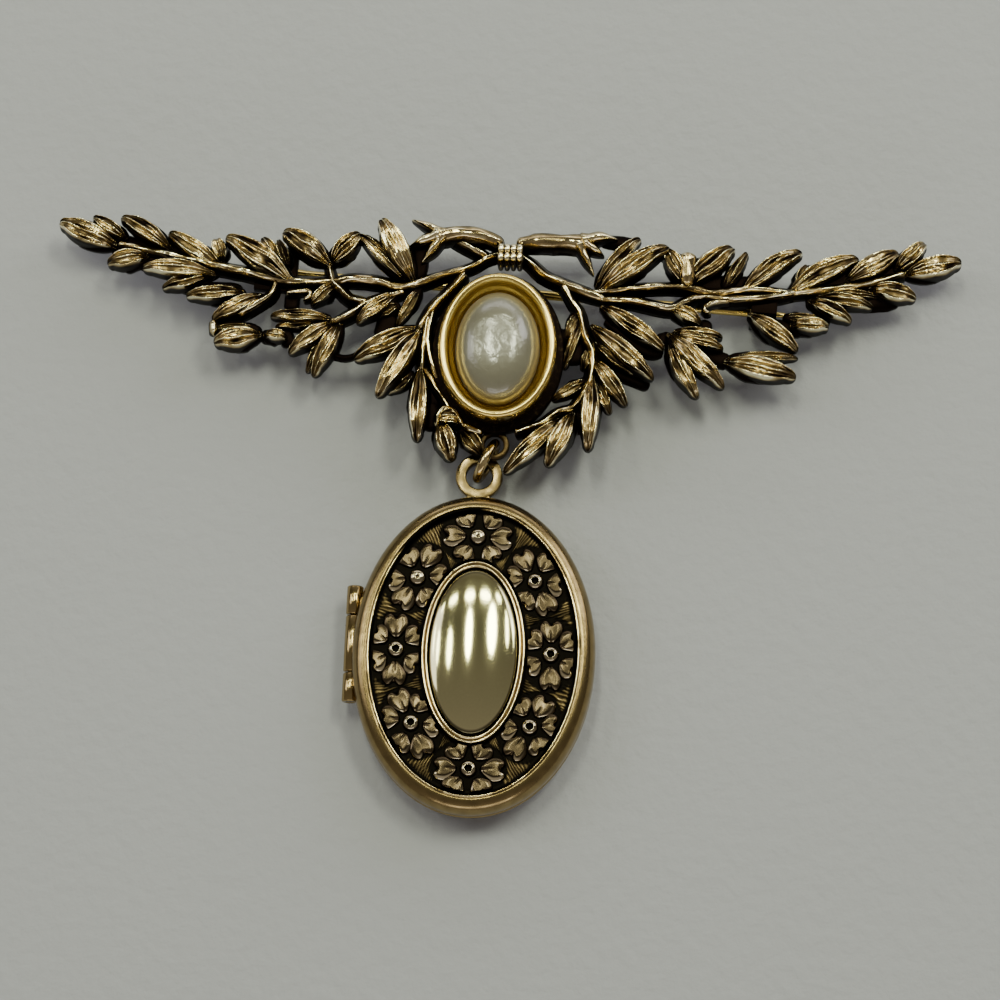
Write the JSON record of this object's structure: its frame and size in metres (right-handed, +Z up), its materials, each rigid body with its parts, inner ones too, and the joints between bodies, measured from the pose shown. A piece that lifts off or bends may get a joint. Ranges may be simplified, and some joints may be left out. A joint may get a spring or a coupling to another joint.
{
  "type": "locket brooch",
  "caption": "Cast openwork laurel spray brooch with an oval pearl cabochon in a raised cup, and a hinged oval locket with a floral border hanging from it on a jump ring.",
  "frame": {"origin": "middle of the bounding box, on the surface that the brooch lies on", "axes": "+X along the spray to the wearer's left wing, +Y towards the twigs above the stone, +Z up, out of the brooch's face"},
  "size_m": [0.0778, 0.0514, 0.0083],
  "materials": {
    "antiqued_gold": "cast, gilt and darkened in its hollows",
    "bright_gold": "polished",
    "locket_gold": "polished, with a darkened border",
    "imitation_pearl": "pearly"
  },
  "bodies": {
    "brooch": {"leaf_spray": "antiqued_gold", "pearl_setting": "bright_gold", "pearl": "imitation_pearl", "jump_ring": "locket_gold", "locket_back": "locket_gold", "locket_hinge_pin": "locket_gold"},
    "cover": {"locket_cover": "locket_gold"},
    "pin": {"pin_stem": "bright_gold"}
  },
  "joints": [
    {"name": "cover_swing", "type": "hinge", "parent": "brooch", "child": "cover", "pos_m": [-0.01174, -0.01139, 0.00263], "axis": [0, -1, 0], "range_deg": [0, 135]},
    {"name": "pin_swing", "type": "hinge", "parent": "brooch", "child": "pin", "pos_m": [-0.01984, 0.02138, 0.0013], "axis": [0.0523, 0.9986, 0], "range_deg": [0, 60]}
  ]
}
